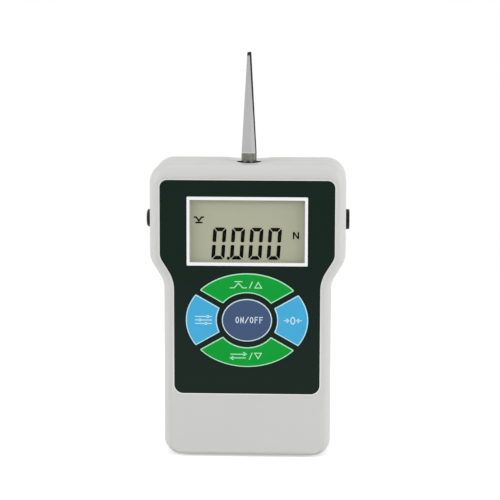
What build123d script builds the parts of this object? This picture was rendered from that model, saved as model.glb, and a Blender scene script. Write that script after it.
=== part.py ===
from build123d import *
import os
from math import cos, radians, sin, tan

# Digital force gauge: a waisted two-part housing with a display, a key ring, an S-type load cell and a probe.
# Millimetres. The origin is the centre of the base, X is to the right, -Y is the front and +Z is up.
# Names that end in _y are places in depth, and names that end in _z are heights above the base.

# Housing
case_width = 83.0
grip_step = 6.0
case_height = 125.5
case_depth = 36.0
case_wall = 2.2
top_corner_radius = 8.5
bottom_corner_radius = 7.3
waist_radius = 10.5
waist_z = 79.7
waist_slope = 32.0
front_edge_radius = 5.0
rear_edge_radius = 3.0
top_dip_width = 20.0
top_dip_depth = 0.8
stem_hole_radius = 5.2

# Tongue and groove along the parting line
lip_height = 1.2
lip_thickness = 1.1
lip_clearance = 0.1

# Raised plateau on the front
plateau_height = 0.8
plateau_inset = 3.7
plateau_top_margin = 6.3
plateau_bottom_margin = 1.2
plateau_corner_radius = 4.0
plateau_edge_radius = 0.4

# Front panel sheet
overlay_inset = 4.63
overlay_thickness = 0.5
overlay_top_margin = 6.9
overlay_bottom_z = 27.5
overlay_top_radius = 3.1
overlay_bottom_radius = 3.8
pocket_clearance = 0.1

# Display
display_drop = 28.5
frame_width = 51.0
frame_height = 29.2
frame_border = 1.47
frame_lip = 0.8
frame_flange = 1.3
frame_corner_radius = 0.4
frame_rebate = 0.67
frame_clearance = 0.1
relief_floor = 1.2
window_thickness = 1.0
lcd_width = 50.8
lcd_height = 30.5
lcd_thickness = 2.8
lcd_setback = 2.1
lcd_clearance = 0.2
backlight_width = 46.0
backlight_height = 22.0
contact_strip_width = 47.0
contact_strip_height = 2.0
contact_strip_margin = 0.9

# Keys
keys_z = 59.2
ring_outer_x = 25.9
ring_outer_z = 20.1
ring_inner_x = 12.8
ring_inner_z = 11.6
power_key_x = 10.64
power_key_z = 9.14
key_gap = 2.35
key_gap_angle = 29.6
key_corner_radius = 0.45
key_proud = 0.3
key_flange = 0.6
key_flange_thickness = 0.8
key_clearance = 0.12
key_seat_gap = 0.1
key_travel = 0.4
key_foot_radius = 1.5
key_edge = 0.15
dome_radius = 3.0
dome_height = 0.5
dome_taper = 60.0
dome_gap = 0.05

# Key circuit
key_circuit_wall_gap = 3.3
key_circuit_height = 41.0
key_circuit_thickness = 1.0
key_circuit_standoff = 0.4
key_circuit_screw_inset = 2.5
key_circuit_screw_z = 18.0
key_boss_radius = 2.0

# Main board
board_wall_gap = 1.3
board_top_margin = 12.0
board_bottom_z = 66.5
board_corner_radius = 1.5
board_thickness = 1.6
board_gap = 2.6
board_screw_gap = 0.3
board_screw_z = 13.4
board_boss_radius = 2.4
chip_height = 1.3
chip_width = 9.0
small_chip_height = 5.0
chip_gap = 1.5
chip_low_rise = 9.0
chip_high_rise = 22.0
header_length = 20.0
header_height = 2.5
header_z = 71.0

# Screws: each has a head, a thread and a bite, which is how far the thread goes into the piece that holds it
small_head_radius = 1.9
small_head_height = 1.3
small_thread_radius = 1.0
small_screw_bite = 1.8
case_head_radius = 2.8
case_head_height = 1.8
case_thread_radius = 1.5
case_screw_bite = 8.0
case_head_recess = 2.6
plate_head_radius = 2.7
plate_head_height = 1.5
plate_thread_radius = 1.5
plate_screw_bite = 3.5
screw_clearance = 0.15
thread_clearance = 0.03
hex_share = 0.5
hex_depth_share = 0.6
case_boss_radius = 3.2
case_boss_inset = 5.2

# Back plate with the shelf of the load cell and the mounting spigots
plate_width = 50.0
plate_height = 72.0
plate_thickness = 4.0
plate_z = 62.0
mount_spacing_x = 40.0
mount_spacing_z = 60.0
spigot_radius = 4.0
spigot_clearance = 0.1
mount_thread_radius = 2.05
mount_thread_depth = 5.0
plate_screw_spacing_x = 24.0
plate_screw_spacing_z = 48.0
shelf_width = 30.0
shelf_thickness = 6.0
shelf_top_z = 66.0
rib_thickness = 3.0
rib_drop = 8.0

# Load cell
cell_width = 26.0
cell_height = 36.0
cell_depth = 12.0
cell_arm = 8.0
cell_slot = 2.0
cell_tail = 6.0
cell_hole_radius = 5.0
cell_hole_pitch = 9.0
gauge_length = 4.4
gauge_width = 4.0
gauge_thickness = 0.3
cell_bolt_radius = 2.5
cell_bolt_head_radius = 4.25
cell_bolt_head_height = 4.0
cell_bolt_bite = 6.0

# Stem
stem_radius = 3.75
stem_thread_radius = 3.0
stem_thread_length = 7.0
stem_hex_flats = 9.0
stem_hex_height = 3.0
spigot_thread_radius = 1.5
spigot_thread_length = 4.5

# Probe
collar_sink = 4.5
collar_rise = 3.15
collar_width = 5.9
collar_depth = 5.5
collar_edge_radius = 0.6
collar_bore_clearance = 0.05
blade_length = 42.9
blade_base_width = 5.75
blade_tip_width = 0.95
blade_depth = 5.2
blade_tip_radius = 0.42
blade_turn = -6.0
blade_shank_length = 2.0

# Sockets
socket_drop = 25.1
socket_fit = 0.1
charging_bezel_radius = 3.8
charging_bezel_length = 2.3
charging_bezel_round = 1.1
charging_neck_radius = 3.2
charging_body_radius = 4.8
charging_body_length = 11.0
charging_bore_radius = 1.9
charging_bore_length = 10.0
charging_pin_radius = 0.65
charging_pin_length = 8.0
data_nut_radius = 4.3
data_nut_length = 1.6
data_nut_chamfer = 0.35
data_neck_radius = 3.0
data_body_radius = 4.5
data_body_length = 12.0
data_bore_radius = 1.8
data_bore_length = 14.0

# Battery
cell_count = 3
battery_radius = 5.25
battery_length = 43.7
battery_pitch = 10.7
battery_floor_gap = 1.3
battery_pole_radius = 1.9
battery_pole_height = 0.8
tray_base = 1.5
tray_wall = 1.5
tray_lip = 6.0
tray_length = 40.0
tray_clearance = 0.1
tray_screw_z = 12.0
tray_screw_bite = 3.0

# Places that follow from the sizes above
front_y = -case_depth / 2
rear_y = case_depth / 2
body_front_y = front_y + plateau_height
inner_front_y = body_front_y + case_wall
inner_rear_y = rear_y - case_wall
overlay_back_y = front_y + overlay_thickness
half_width = case_width / 2
half_grip = half_width - grip_step
waist_rise = grip_step / tan(radians(waist_slope))
dip_radius = (top_dip_width**2 / 4 + top_dip_depth**2) / (2 * top_dip_depth)
dip_top_z = case_height - top_dip_depth

display_z = case_height - display_drop
relief_y = overlay_back_y + relief_floor
window_y = front_y + frame_lip
lcd_front_y = front_y + lcd_setback
lcd_back_y = lcd_front_y + lcd_thickness
board_front_y = lcd_back_y + board_gap
board_back_y = board_front_y + board_thickness
board_top_z = case_height - board_top_margin
chip_x = cell_width / 2 + chip_gap + chip_width / 2
chip_low_z = board_bottom_z + chip_low_rise
chip_high_z = board_bottom_z + chip_high_rise
flange_width = lcd_width + 2 * (lcd_clearance + frame_flange)
flange_height = lcd_height + 2 * (lcd_clearance + frame_flange)

key_front_y = front_y - key_proud
key_flange_front_y = overlay_back_y + key_seat_gap
key_flange_back_y = key_flange_front_y + key_flange_thickness
key_circuit_width = 2 * (half_grip - case_wall - key_circuit_wall_gap)
key_circuit_screw_x = key_circuit_width / 2 - key_circuit_screw_inset
circuit_front_y = inner_front_y + key_circuit_standoff
circuit_back_y = circuit_front_y + key_circuit_thickness
key_foot_y = circuit_front_y - dome_height - dome_gap - key_travel
ring_mid_x = (ring_outer_x + ring_inner_x) / 2
ring_mid_z = (ring_outer_z + ring_inner_z) / 2

plate_front_y = inner_rear_y - plate_thickness
shelf_bottom_z = shelf_top_z - shelf_thickness
cell_top_z = shelf_top_z + cell_height
collar_bottom_z = case_height - collar_sink
collar_top_z = case_height + collar_rise
socket_z = case_height - socket_drop
tray_front_y = plate_front_y - tray_base
battery_y = tray_front_y - tray_clearance - battery_radius
battery_bottom_z = case_wall + battery_floor_gap
battery_spread = (cell_count - 1) * battery_pitch / 2

case_boss_top_x = half_width - case_wall - case_boss_inset
case_boss_top_z = case_height - case_wall - case_boss_inset
case_boss_low_x = half_grip - case_wall - case_boss_inset
case_boss_low_z = case_wall + case_boss_inset
case_screw_places = [
    (-case_boss_low_x, case_boss_low_z),
    (case_boss_low_x, case_boss_low_z),
    (-case_boss_top_x, case_boss_top_z),
    (case_boss_top_x, case_boss_top_z),
]
board_screw_x = flange_width / 2 + board_screw_gap + board_boss_radius
board_screw_high = display_z + board_screw_z
board_screw_low = display_z - board_screw_z
board_screw_places = [
    (side * board_screw_x, height) for side in (-1, 1) for height in (board_screw_low, board_screw_high)
]
key_screw_places = [
    (side * key_circuit_screw_x, keys_z + level * key_circuit_screw_z)
    for side in (-1, 1)
    for level in (-1, 1)
]
mount_places = [
    (side * mount_spacing_x / 2, plate_z + level * mount_spacing_z / 2)
    for side in (-1, 1)
    for level in (-1, 1)
]
plate_screw_places = [
    (side * plate_screw_spacing_x / 2, plate_z + level * plate_screw_spacing_z / 2)
    for side in (-1, 1)
    for level in (-1, 1)
]
tray_screw_places = [
    (side * battery_pitch / 2, plate_z - plate_height / 2 + tray_screw_z) for side in (-1, 1)
]
outline_radii = [bottom_corner_radius] * 2 + [waist_radius] * 2 + [top_corner_radius] * 2 + [waist_radius] * 2
trimmed_radii = [0, 0] + [waist_radius] * 2 + [0, 0] + [waist_radius] * 2
ring_keys = {
    "peak_key": (90, 90 - key_gap_angle, (0, ring_mid_z)),
    "unit_key": (270, 90 - key_gap_angle, (0, -ring_mid_z)),
    "set_key": (180, key_gap_angle, (-ring_mid_x, 0)),
    "zero_key": (0, key_gap_angle, (ring_mid_x, 0)),
}
dome_places = [(0, keys_z)] + [(x, keys_z + z) for _, _, (x, z) in ring_keys.values()]

os.makedirs("parts", exist_ok=True)


def facing_front(y):
    """A plane across the gauge at depth y. Its sketches read as seen from the front."""
    return Plane.XZ.offset(-y)


def waist_points(bottom_z, top_z):
    """Corners of the waisted outline, from the bottom left corner and anticlockwise."""
    low_z = waist_z - waist_rise / 2
    high_z = waist_z + waist_rise / 2
    right = [(half_grip, bottom_z), (half_grip, low_z), (half_width, high_z), (half_width, top_z)]
    left = [(-x, z) for x, z in reversed(right)]
    return left[-1:] + right + left[:-1]


def waisted_face(y, inset=0.0):
    """The waisted outline of the housing, drawn in by the inset, as a face at depth y."""
    with BuildSketch(facing_front(y)) as face:
        with BuildLine():
            FilletPolyline(*waist_points(0, case_height), radius=outline_radii, close=True)
        make_face()
        if inset:
            offset(amount=-inset)
    return face.sketch


def panel_face(y, inset, bottom_z, top_z, bottom_radius, top_radius):
    """A panel with the housing's waisted sides and with a bottom, a top and corner radii of its own."""
    with BuildSketch(facing_front(y)) as face:
        with BuildLine():
            points = waist_points(-case_depth, case_height + case_depth)
            FilletPolyline(*points, radius=trimmed_radii, close=True)
        make_face()
        offset(amount=-inset)
        with Locations((0, (bottom_z + top_z) / 2)):
            Rectangle(case_width, top_z - bottom_z, mode=Mode.INTERSECT)
        fillet(face.vertices().group_by(Axis.Y)[0], radius=bottom_radius)
        fillet(face.vertices().group_by(Axis.Y)[-1], radius=top_radius)
    return face.sketch


def ring_key_block(name, back_y, front_y, grow=0.0):
    """One quarter of the key ring between two depths, widened on every side by grow."""
    direction, spread, _ = ring_keys[name]
    tip = (key_gap / 2 - grow) / sin(radians(spread))
    reach = 2 * ring_outer_x
    corners = [(tip * cos(radians(direction)), tip * sin(radians(direction)))]
    for turn in (direction - spread, direction + spread):
        along = (reach * cos(radians(turn)), reach * sin(radians(turn)))
        corners.append((corners[0][0] + along[0], corners[0][1] + along[1]))
    with BuildPart() as block:
        with BuildSketch(facing_front(back_y)):
            with Locations((0, keys_z)):
                Ellipse(ring_outer_x + grow, ring_outer_z + grow)
                Ellipse(ring_inner_x - grow, ring_inner_z - grow, mode=Mode.SUBTRACT)
                Polygon(*corners, align=None, mode=Mode.INTERSECT)
        extrude(amount=back_y - front_y)
        fillet(block.edges().filter_by(Axis.Y), radius=key_corner_radius)
    return block.part


def power_key_block(back_y, front_y, grow=0.0):
    """The oval in the middle of the ring between two depths, widened on every side by grow."""
    with BuildPart() as block:
        with BuildSketch(facing_front(back_y)):
            with Locations((0, keys_z)):
                Ellipse(power_key_x + grow, power_key_z + grow)
        extrude(amount=back_y - front_y)
    return block.part


def key_openings(back_y, front_y, grow):
    """Blocks with the outlines of all five keys, widened on every side by grow."""
    return [power_key_block(back_y, front_y, grow)] + [
        ring_key_block(name, back_y, front_y, grow) for name in ring_keys
    ]


def rounded_frame(y, width, height, radius):
    """A rounded rectangle round the middle of the display."""
    with BuildSketch(facing_front(y)) as face:
        with Locations((0, display_z)):
            RectangleRounded(width, height, radius)
    return face.sketch


def plain_frame(y, width, height):
    """A rectangle round the middle of the display."""
    with BuildSketch(facing_front(y)) as face:
        with Locations((0, display_z)):
            Rectangle(width, height)
    return face.sketch


def discs(y, places, radius):
    """Equal circles at the given places, at depth y."""
    with BuildSketch(facing_front(y)) as face:
        with Locations(*places):
            Circle(radius)
    return face.sketch


def screw_group(seat_y, way, places, head_radius, head_height, thread_radius, length):
    """Equal screws with heads that sit at seat_y. Threads run to the front if way is 1, to the back if -1."""
    with BuildPart() as screws:
        extrude(discs(seat_y, places, head_radius), amount=-way * head_height)
        extrude(discs(seat_y, places, thread_radius), amount=way * length)
        with BuildSketch(facing_front(seat_y + way * head_height)):
            with Locations(*places):
                RegularPolygon(hex_share * head_radius, 6)
        extrude(amount=way * hex_depth_share * head_height, mode=Mode.SUBTRACT)
    return screws.part


def write(part, name):
    """Label a finished piece and write it as a STEP file of its own."""
    part.label = name
    export_step(part, f"parts/{name}.step")


# Cuts that both halves of the housing share: the dip in the top, the stem's hole and the sockets' holes
with BuildPart() as shared_cuts:
    with BuildSketch(facing_front(rear_y)):
        with Locations((0, dip_top_z + dip_radius)):
            Circle(dip_radius)
    extrude(amount=case_depth)
    with BuildSketch(Plane.XY.offset(case_height - 2 * case_wall)):
        Circle(stem_hole_radius)
    extrude(amount=2 * case_wall)
    with BuildSketch(Plane.YZ.offset(-half_width)):
        with Locations((0, socket_z)):
            Circle(charging_neck_radius + socket_fit)
    extrude(amount=case_wall)
    with BuildSketch(Plane.YZ.offset(half_width)):
        with Locations((0, socket_z)):
            Circle(data_neck_radius + socket_fit)
    extrude(amount=-case_wall)

# Front half of the housing: a rounded shell with a raised plateau, a pocket for the sheet and its openings
with BuildPart() as front_cavity:
    extrude(waisted_face(0, case_wall), amount=-inner_front_y)
    fillet(front_cavity.faces().sort_by(Axis.Y)[0].edges(), radius=front_edge_radius - case_wall)
    extrude(discs(0, case_screw_places, case_boss_radius), amount=-inner_front_y, mode=Mode.SUBTRACT)

with BuildPart() as front_shell:
    extrude(waisted_face(0), amount=-body_front_y)
    fillet(front_shell.faces().sort_by(Axis.Y)[0].edges(), radius=front_edge_radius)
    extrude(
        panel_face(
            inner_front_y,
            plateau_inset,
            plateau_bottom_margin,
            case_height - plateau_top_margin,
            plateau_corner_radius,
            plateau_corner_radius,
        ),
        amount=inner_front_y - front_y,
    )
    fillet(front_shell.faces().sort_by(Axis.Y)[0].edges(), radius=plateau_edge_radius)
    add(front_cavity.part, mode=Mode.SUBTRACT)
    # Tongue along the parting line
    extrude(waisted_face(lip_height, case_wall - lip_thickness), amount=lip_height)
    extrude(waisted_face(lip_height, case_wall), amount=lip_height, mode=Mode.SUBTRACT)
    # Pocket for the panel sheet
    extrude(
        panel_face(
            front_y,
            overlay_inset - pocket_clearance,
            overlay_bottom_z - pocket_clearance,
            case_height - overlay_top_margin + pocket_clearance,
            overlay_bottom_radius + pocket_clearance,
            overlay_top_radius + pocket_clearance,
        ),
        amount=-overlay_thickness,
        mode=Mode.SUBTRACT,
    )
    # Opening and relief for the display frame
    extrude(
        rounded_frame(
            front_y,
            frame_width + 2 * frame_clearance,
            frame_height + 2 * frame_clearance,
            frame_corner_radius + frame_clearance,
        ),
        amount=-(inner_front_y - front_y),
        mode=Mode.SUBTRACT,
    )
    extrude(
        plain_frame(inner_front_y, flange_width + 2 * frame_clearance, flange_height + 2 * frame_clearance),
        amount=inner_front_y - relief_y,
        mode=Mode.SUBTRACT,
    )
    # One opening for each key, with thin webs between them
    for opening in key_openings(inner_front_y, overlay_back_y, key_flange + key_clearance):
        add(opening, mode=Mode.SUBTRACT)
    # Bosses for the two circuits, which grow out of the front wall
    extrude(
        discs(board_front_y, board_screw_places, board_boss_radius),
        amount=board_front_y - inner_front_y + relief_floor,
    )
    extrude(
        discs(circuit_front_y, key_screw_places, key_boss_radius),
        amount=key_circuit_standoff + relief_floor,
    )
    # Screw holes
    extrude(
        discs(0, case_screw_places, case_thread_radius + thread_clearance),
        amount=case_screw_bite + screw_clearance,
        mode=Mode.SUBTRACT,
    )
    extrude(
        discs(board_front_y, board_screw_places, small_thread_radius + thread_clearance),
        amount=small_screw_bite + screw_clearance,
        mode=Mode.SUBTRACT,
    )
    extrude(
        discs(circuit_front_y, key_screw_places, small_thread_radius + thread_clearance),
        amount=small_screw_bite + screw_clearance,
        mode=Mode.SUBTRACT,
    )
    add(shared_cuts.part, mode=Mode.SUBTRACT)
write(front_shell.part, "front_shell")

# Rear half of the housing, with a groove for the tongue, screw bosses and a flat back
with BuildPart() as rear_cavity:
    extrude(waisted_face(0, case_wall), amount=-inner_rear_y)
    fillet(rear_cavity.faces().sort_by(Axis.Y)[-1].edges(), radius=rear_edge_radius - case_wall)
    extrude(discs(0, case_screw_places, case_boss_radius), amount=-inner_rear_y, mode=Mode.SUBTRACT)

with BuildPart() as groove:
    extrude(waisted_face(0, case_wall - lip_thickness - lip_clearance), amount=-(lip_height + lip_clearance))
    extrude(
        waisted_face(0, case_wall + lip_clearance), amount=-(lip_height + lip_clearance), mode=Mode.SUBTRACT
    )

with BuildPart() as rear_shell:
    extrude(waisted_face(0), amount=-rear_y)
    fillet(rear_shell.faces().sort_by(Axis.Y)[-1].edges(), radius=rear_edge_radius)
    add(rear_cavity.part, mode=Mode.SUBTRACT)
    add(groove.part, mode=Mode.SUBTRACT)
    # Case screws: a plain hole through each boss and a recess for each head
    extrude(
        discs(rear_y, case_screw_places, case_thread_radius + screw_clearance),
        amount=rear_y,
        mode=Mode.SUBTRACT,
    )
    extrude(
        discs(rear_y, case_screw_places, case_head_radius + screw_clearance),
        amount=case_head_recess,
        mode=Mode.SUBTRACT,
    )
    # Plate screws: the same, in the back wall
    extrude(
        discs(rear_y, plate_screw_places, plate_thread_radius + screw_clearance),
        amount=case_wall,
        mode=Mode.SUBTRACT,
    )
    extrude(
        discs(rear_y, plate_screw_places, plate_head_radius + screw_clearance),
        amount=plate_head_height,
        mode=Mode.SUBTRACT,
    )
    extrude(
        discs(rear_y, mount_places, spigot_radius + spigot_clearance),
        amount=case_wall,
        mode=Mode.SUBTRACT,
    )
    add(shared_cuts.part, mode=Mode.SUBTRACT)
write(rear_shell.part, "rear_shell")

# Front panel sheet, with a window for the display frame and an opening for each key
with BuildPart() as panel_overlay:
    extrude(
        panel_face(
            overlay_back_y,
            overlay_inset,
            overlay_bottom_z,
            case_height - overlay_top_margin,
            overlay_bottom_radius,
            overlay_top_radius,
        ),
        amount=overlay_thickness,
    )
    extrude(
        rounded_frame(
            overlay_back_y,
            frame_width + 2 * frame_clearance,
            frame_height + 2 * frame_clearance,
            frame_corner_radius + frame_clearance,
        ),
        amount=overlay_thickness,
        mode=Mode.SUBTRACT,
    )
    for opening in key_openings(overlay_back_y, front_y, key_clearance):
        add(opening, mode=Mode.SUBTRACT)
write(panel_overlay.part, "panel_overlay")

# Display frame: a white rim with a flange behind the wall, a rebate for the window and a seat for the glass
opening_width = frame_width - 2 * frame_border
opening_height = frame_height - 2 * frame_border
rebate_width = opening_width + 2 * frame_rebate
rebate_height = opening_height + 2 * frame_rebate
with BuildPart() as display_frame:
    extrude(
        rounded_frame(relief_y, frame_width, frame_height, frame_corner_radius),
        amount=relief_y - front_y,
    )
    extrude(plain_frame(lcd_back_y, flange_width, flange_height), amount=lcd_back_y - relief_y)
    extrude(
        plain_frame(lcd_back_y, opening_width, opening_height),
        amount=lcd_back_y - front_y,
        mode=Mode.SUBTRACT,
    )
    extrude(
        plain_frame(lcd_front_y, rebate_width, rebate_height),
        amount=lcd_front_y - window_y,
        mode=Mode.SUBTRACT,
    )
    extrude(
        plain_frame(lcd_back_y, lcd_width + 2 * lcd_clearance, lcd_height + 2 * lcd_clearance),
        amount=lcd_thickness,
        mode=Mode.SUBTRACT,
    )
write(display_frame.part, "display_frame")

with BuildPart() as display_window:
    extrude(
        plain_frame(
            window_y + window_thickness,
            rebate_width - 2 * frame_clearance,
            rebate_height - 2 * frame_clearance,
        ),
        amount=window_thickness,
    )
write(display_window.part, "display_window")

with BuildPart() as lcd_glass:
    extrude(plain_frame(lcd_back_y, lcd_width, lcd_height), amount=lcd_thickness)
write(lcd_glass.part, "lcd_glass")

with BuildPart() as lcd_backlight:
    extrude(plain_frame(board_front_y, backlight_width, backlight_height), amount=board_gap)
write(lcd_backlight.part, "lcd_backlight")

# Rubber contact strips, which join the glass to the main board above and below the backlight
strip_z = lcd_height / 2 - contact_strip_margin - contact_strip_height / 2
with BuildPart() as lcd_contact_strips:
    with BuildSketch(facing_front(board_front_y)):
        with Locations((0, display_z - strip_z), (0, display_z + strip_z)):
            Rectangle(contact_strip_width, contact_strip_height)
    extrude(amount=board_gap)
write(lcd_contact_strips.part, "lcd_contact_strips")

# Keys: a cap through the panel sheet, a flange behind the sheet and a foot over its snap dome
with BuildPart() as power_key:
    add(power_key_block(key_flange_front_y, key_front_y))
    chamfer(power_key.faces().sort_by(Axis.Y)[0].edges(), length=key_edge)
    add(power_key_block(key_flange_back_y, key_flange_front_y, key_flange))
    extrude(discs(key_foot_y, [(0, keys_z)], key_foot_radius), amount=key_foot_y - key_flange_back_y)
write(power_key.part, "power_key")

for key_name, (_, _, (foot_x, foot_z)) in ring_keys.items():
    with BuildPart() as ring_key:
        add(ring_key_block(key_name, key_flange_front_y, key_front_y))
        chamfer(ring_key.faces().sort_by(Axis.Y)[0].edges(), length=key_edge)
        add(ring_key_block(key_name, key_flange_back_y, key_flange_front_y, key_flange))
        extrude(
            discs(key_foot_y, [(foot_x, keys_z + foot_z)], key_foot_radius),
            amount=key_foot_y - key_flange_back_y,
        )
    write(ring_key.part, key_name)

# Key circuit with its snap domes and screws
with BuildPart() as key_circuit:
    with BuildSketch(facing_front(circuit_back_y)):
        with Locations((0, keys_z)):
            Rectangle(key_circuit_width, key_circuit_height)
    extrude(amount=key_circuit_thickness)
    extrude(
        discs(circuit_back_y, key_screw_places, small_thread_radius + screw_clearance),
        amount=key_circuit_thickness,
        mode=Mode.SUBTRACT,
    )
write(key_circuit.part, "key_circuit")

with BuildPart() as snap_domes:
    with BuildSketch(facing_front(circuit_front_y)):
        with Locations(*dome_places):
            Circle(dome_radius)
    extrude(amount=dome_height, taper=dome_taper)
write(snap_domes.part, "snap_domes")

key_circuit_screws = screw_group(
    circuit_back_y,
    1,
    key_screw_places,
    small_head_radius,
    small_head_height,
    small_thread_radius,
    key_circuit_thickness + small_screw_bite,
)
write(key_circuit_screws, "key_circuit_screws")

# Main board, which follows the housing's walls, with chips on its back on both sides of the load cell, its
# screws and the pin header that links it to the key circuit
with BuildPart() as main_board:
    extrude(
        panel_face(
            board_back_y,
            case_wall + board_wall_gap,
            board_bottom_z,
            board_top_z,
            board_corner_radius,
            board_corner_radius,
        ),
        amount=board_thickness,
    )
    extrude(
        discs(board_back_y, board_screw_places, small_thread_radius + screw_clearance),
        amount=board_thickness,
        mode=Mode.SUBTRACT,
    )
write(main_board.part, "main_board")

with BuildPart() as board_chips:
    with BuildSketch(facing_front(board_back_y + chip_height)):
        with Locations((chip_x, chip_low_z), (-chip_x, chip_high_z)):
            Rectangle(chip_width, chip_width)
        with Locations((-chip_x, chip_low_z), (chip_x, chip_high_z)):
            Rectangle(chip_width, small_chip_height)
    extrude(amount=chip_height)
write(board_chips.part, "board_chips")

with BuildPart() as board_header:
    with BuildSketch(facing_front(board_front_y)):
        with Locations((0, header_z)):
            Rectangle(header_length, header_height)
    extrude(amount=board_front_y - circuit_back_y)
write(board_header.part, "board_header")

board_screws = screw_group(
    board_back_y,
    1,
    board_screw_places,
    small_head_radius,
    small_head_height,
    small_thread_radius,
    board_thickness + small_screw_bite,
)
write(board_screws, "board_screws")

# Back plate: it carries the load cell on a shelf and brings four threaded spigots out through the back
with BuildPart() as back_plate:
    with BuildSketch(facing_front(inner_rear_y)):
        with Locations((0, plate_z)):
            Rectangle(plate_width, plate_height)
    extrude(amount=plate_thickness)
    extrude(discs(rear_y, mount_places, spigot_radius), amount=case_wall)
    with BuildSketch(Plane.XY.offset(shelf_bottom_z)):
        with Locations((0, (plate_front_y - cell_depth / 2) / 2)):
            Rectangle(shelf_width, plate_front_y + cell_depth / 2)
    extrude(amount=shelf_thickness)
    for side in (-1, 1):
        with BuildSketch(Plane.YZ.offset(side * (shelf_width - rib_thickness) / 2)):
            with BuildLine():
                Polyline(
                    (plate_front_y, shelf_bottom_z),
                    (plate_front_y, shelf_bottom_z - rib_drop),
                    (plate_front_y - 2 * rib_drop, shelf_bottom_z),
                    close=True,
                )
            make_face()
        extrude(amount=rib_thickness / 2, both=True)
    extrude(discs(rear_y, mount_places, mount_thread_radius), amount=mount_thread_depth, mode=Mode.SUBTRACT)
    extrude(
        discs(inner_rear_y, plate_screw_places, plate_thread_radius + thread_clearance),
        amount=plate_screw_bite + thread_clearance,
        mode=Mode.SUBTRACT,
    )
    extrude(
        discs(plate_front_y, tray_screw_places, small_thread_radius + thread_clearance),
        amount=-(tray_screw_bite + thread_clearance),
        mode=Mode.SUBTRACT,
    )
    with BuildSketch(Plane.XY.offset(shelf_bottom_z)):
        Circle(cell_bolt_radius + screw_clearance)
    extrude(amount=shelf_thickness, mode=Mode.SUBTRACT)
write(back_plate.part, "back_plate")

plate_screws = screw_group(
    rear_y - plate_head_height,
    1,
    plate_screw_places,
    plate_head_radius,
    plate_head_height,
    plate_thread_radius,
    case_wall - plate_head_height + plate_screw_bite,
)
write(plate_screws, "plate_screws")

case_screw_seat_y = rear_y - case_head_recess
case_screws = screw_group(
    case_screw_seat_y,
    1,
    case_screw_places,
    case_head_radius,
    case_head_height,
    case_thread_radius,
    case_screw_seat_y + case_screw_bite,
)
write(case_screws, "case_screws")

# S-type load cell: two arms, two slots from opposite sides and an oval hole that thins the middle to flex
lower_slot_z = shelf_top_z + cell_arm
upper_slot_z = cell_top_z - cell_arm - cell_slot
with BuildPart() as load_cell:
    with BuildSketch(facing_front(cell_depth / 2)):
        with Locations((0, shelf_top_z + cell_height / 2)):
            Rectangle(cell_width, cell_height)
            SlotCenterToCenter(cell_hole_pitch, 2 * cell_hole_radius, mode=Mode.SUBTRACT)
        with Locations((cell_tail / 2, upper_slot_z + cell_slot / 2)):
            Rectangle(cell_width - cell_tail, cell_slot, mode=Mode.SUBTRACT)
        with Locations((-cell_tail / 2, lower_slot_z + cell_slot / 2)):
            Rectangle(cell_width - cell_tail, cell_slot, mode=Mode.SUBTRACT)
    extrude(amount=cell_depth)
    with BuildSketch(Plane.XY.offset(cell_top_z)):
        Circle(stem_thread_radius + thread_clearance)
    extrude(amount=-cell_arm, mode=Mode.SUBTRACT)
    with BuildSketch(Plane.XY.offset(shelf_top_z)):
        Circle(cell_bolt_radius + thread_clearance)
    extrude(amount=cell_bolt_bite + thread_clearance, mode=Mode.SUBTRACT)
write(load_cell.part, "load_cell")

# Strain gauges, two on each face of the middle block, above and below its thin flexures
with BuildPart() as strain_gauges:
    for gauge_z in (upper_slot_z, lower_slot_z + cell_slot - gauge_thickness):
        with BuildSketch(Plane.XY.offset(gauge_z)):
            with Locations((-cell_hole_pitch / 2, 0), (cell_hole_pitch / 2, 0)):
                Rectangle(gauge_length, gauge_width)
        extrude(amount=gauge_thickness)
write(strain_gauges.part, "strain_gauges")

with BuildPart() as cell_bolt:
    with BuildSketch(Plane.XY.offset(shelf_bottom_z)):
        Circle(cell_bolt_head_radius)
    extrude(amount=-cell_bolt_head_height)
    with BuildSketch(Plane.XY.offset(shelf_bottom_z)):
        Circle(cell_bolt_radius)
    extrude(amount=shelf_thickness + cell_bolt_bite)
    with BuildSketch(Plane.XY.offset(shelf_bottom_z - cell_bolt_head_height)):
        RegularPolygon(hex_share * cell_bolt_head_radius, 6)
    extrude(amount=hex_depth_share * cell_bolt_head_height, mode=Mode.SUBTRACT)
write(cell_bolt.part, "cell_bolt")

# Stem: threaded into the cell, with a spanner hex, a shaft through the top and a thread for the probe
with BuildPart() as stem:
    with BuildSketch(Plane.XY.offset(cell_top_z)):
        Circle(stem_thread_radius)
    extrude(amount=-stem_thread_length)
    with BuildSketch(Plane.XY.offset(cell_top_z)):
        RegularPolygon(stem_hex_flats / 2, 6, major_radius=False)
    extrude(amount=stem_hex_height)
    with BuildSketch(Plane.XY.offset(cell_top_z + stem_hex_height)):
        Circle(stem_radius)
    extrude(amount=collar_bottom_z - cell_top_z - stem_hex_height)
    with BuildSketch(Plane.XY.offset(collar_bottom_z)):
        Circle(spigot_thread_radius)
    extrude(amount=spigot_thread_length)
write(stem.part, "stem")

# Probe: a square collar on the stem's thread, and a wedge that tapers in width and keeps its depth
with BuildPart() as probe_collar:
    with BuildSketch(Plane.XY.offset(collar_bottom_z)):
        Rectangle(collar_width, collar_depth, rotation=blade_turn)
    extrude(amount=collar_sink + collar_rise)
    fillet(probe_collar.edges().filter_by(Axis.Z), radius=collar_edge_radius)
    with BuildSketch(Plane.XY.offset(collar_bottom_z)):
        Circle(spigot_thread_radius + collar_bore_clearance)
    extrude(amount=collar_sink + collar_rise, mode=Mode.SUBTRACT)
write(probe_collar.part, "probe_collar")

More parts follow.
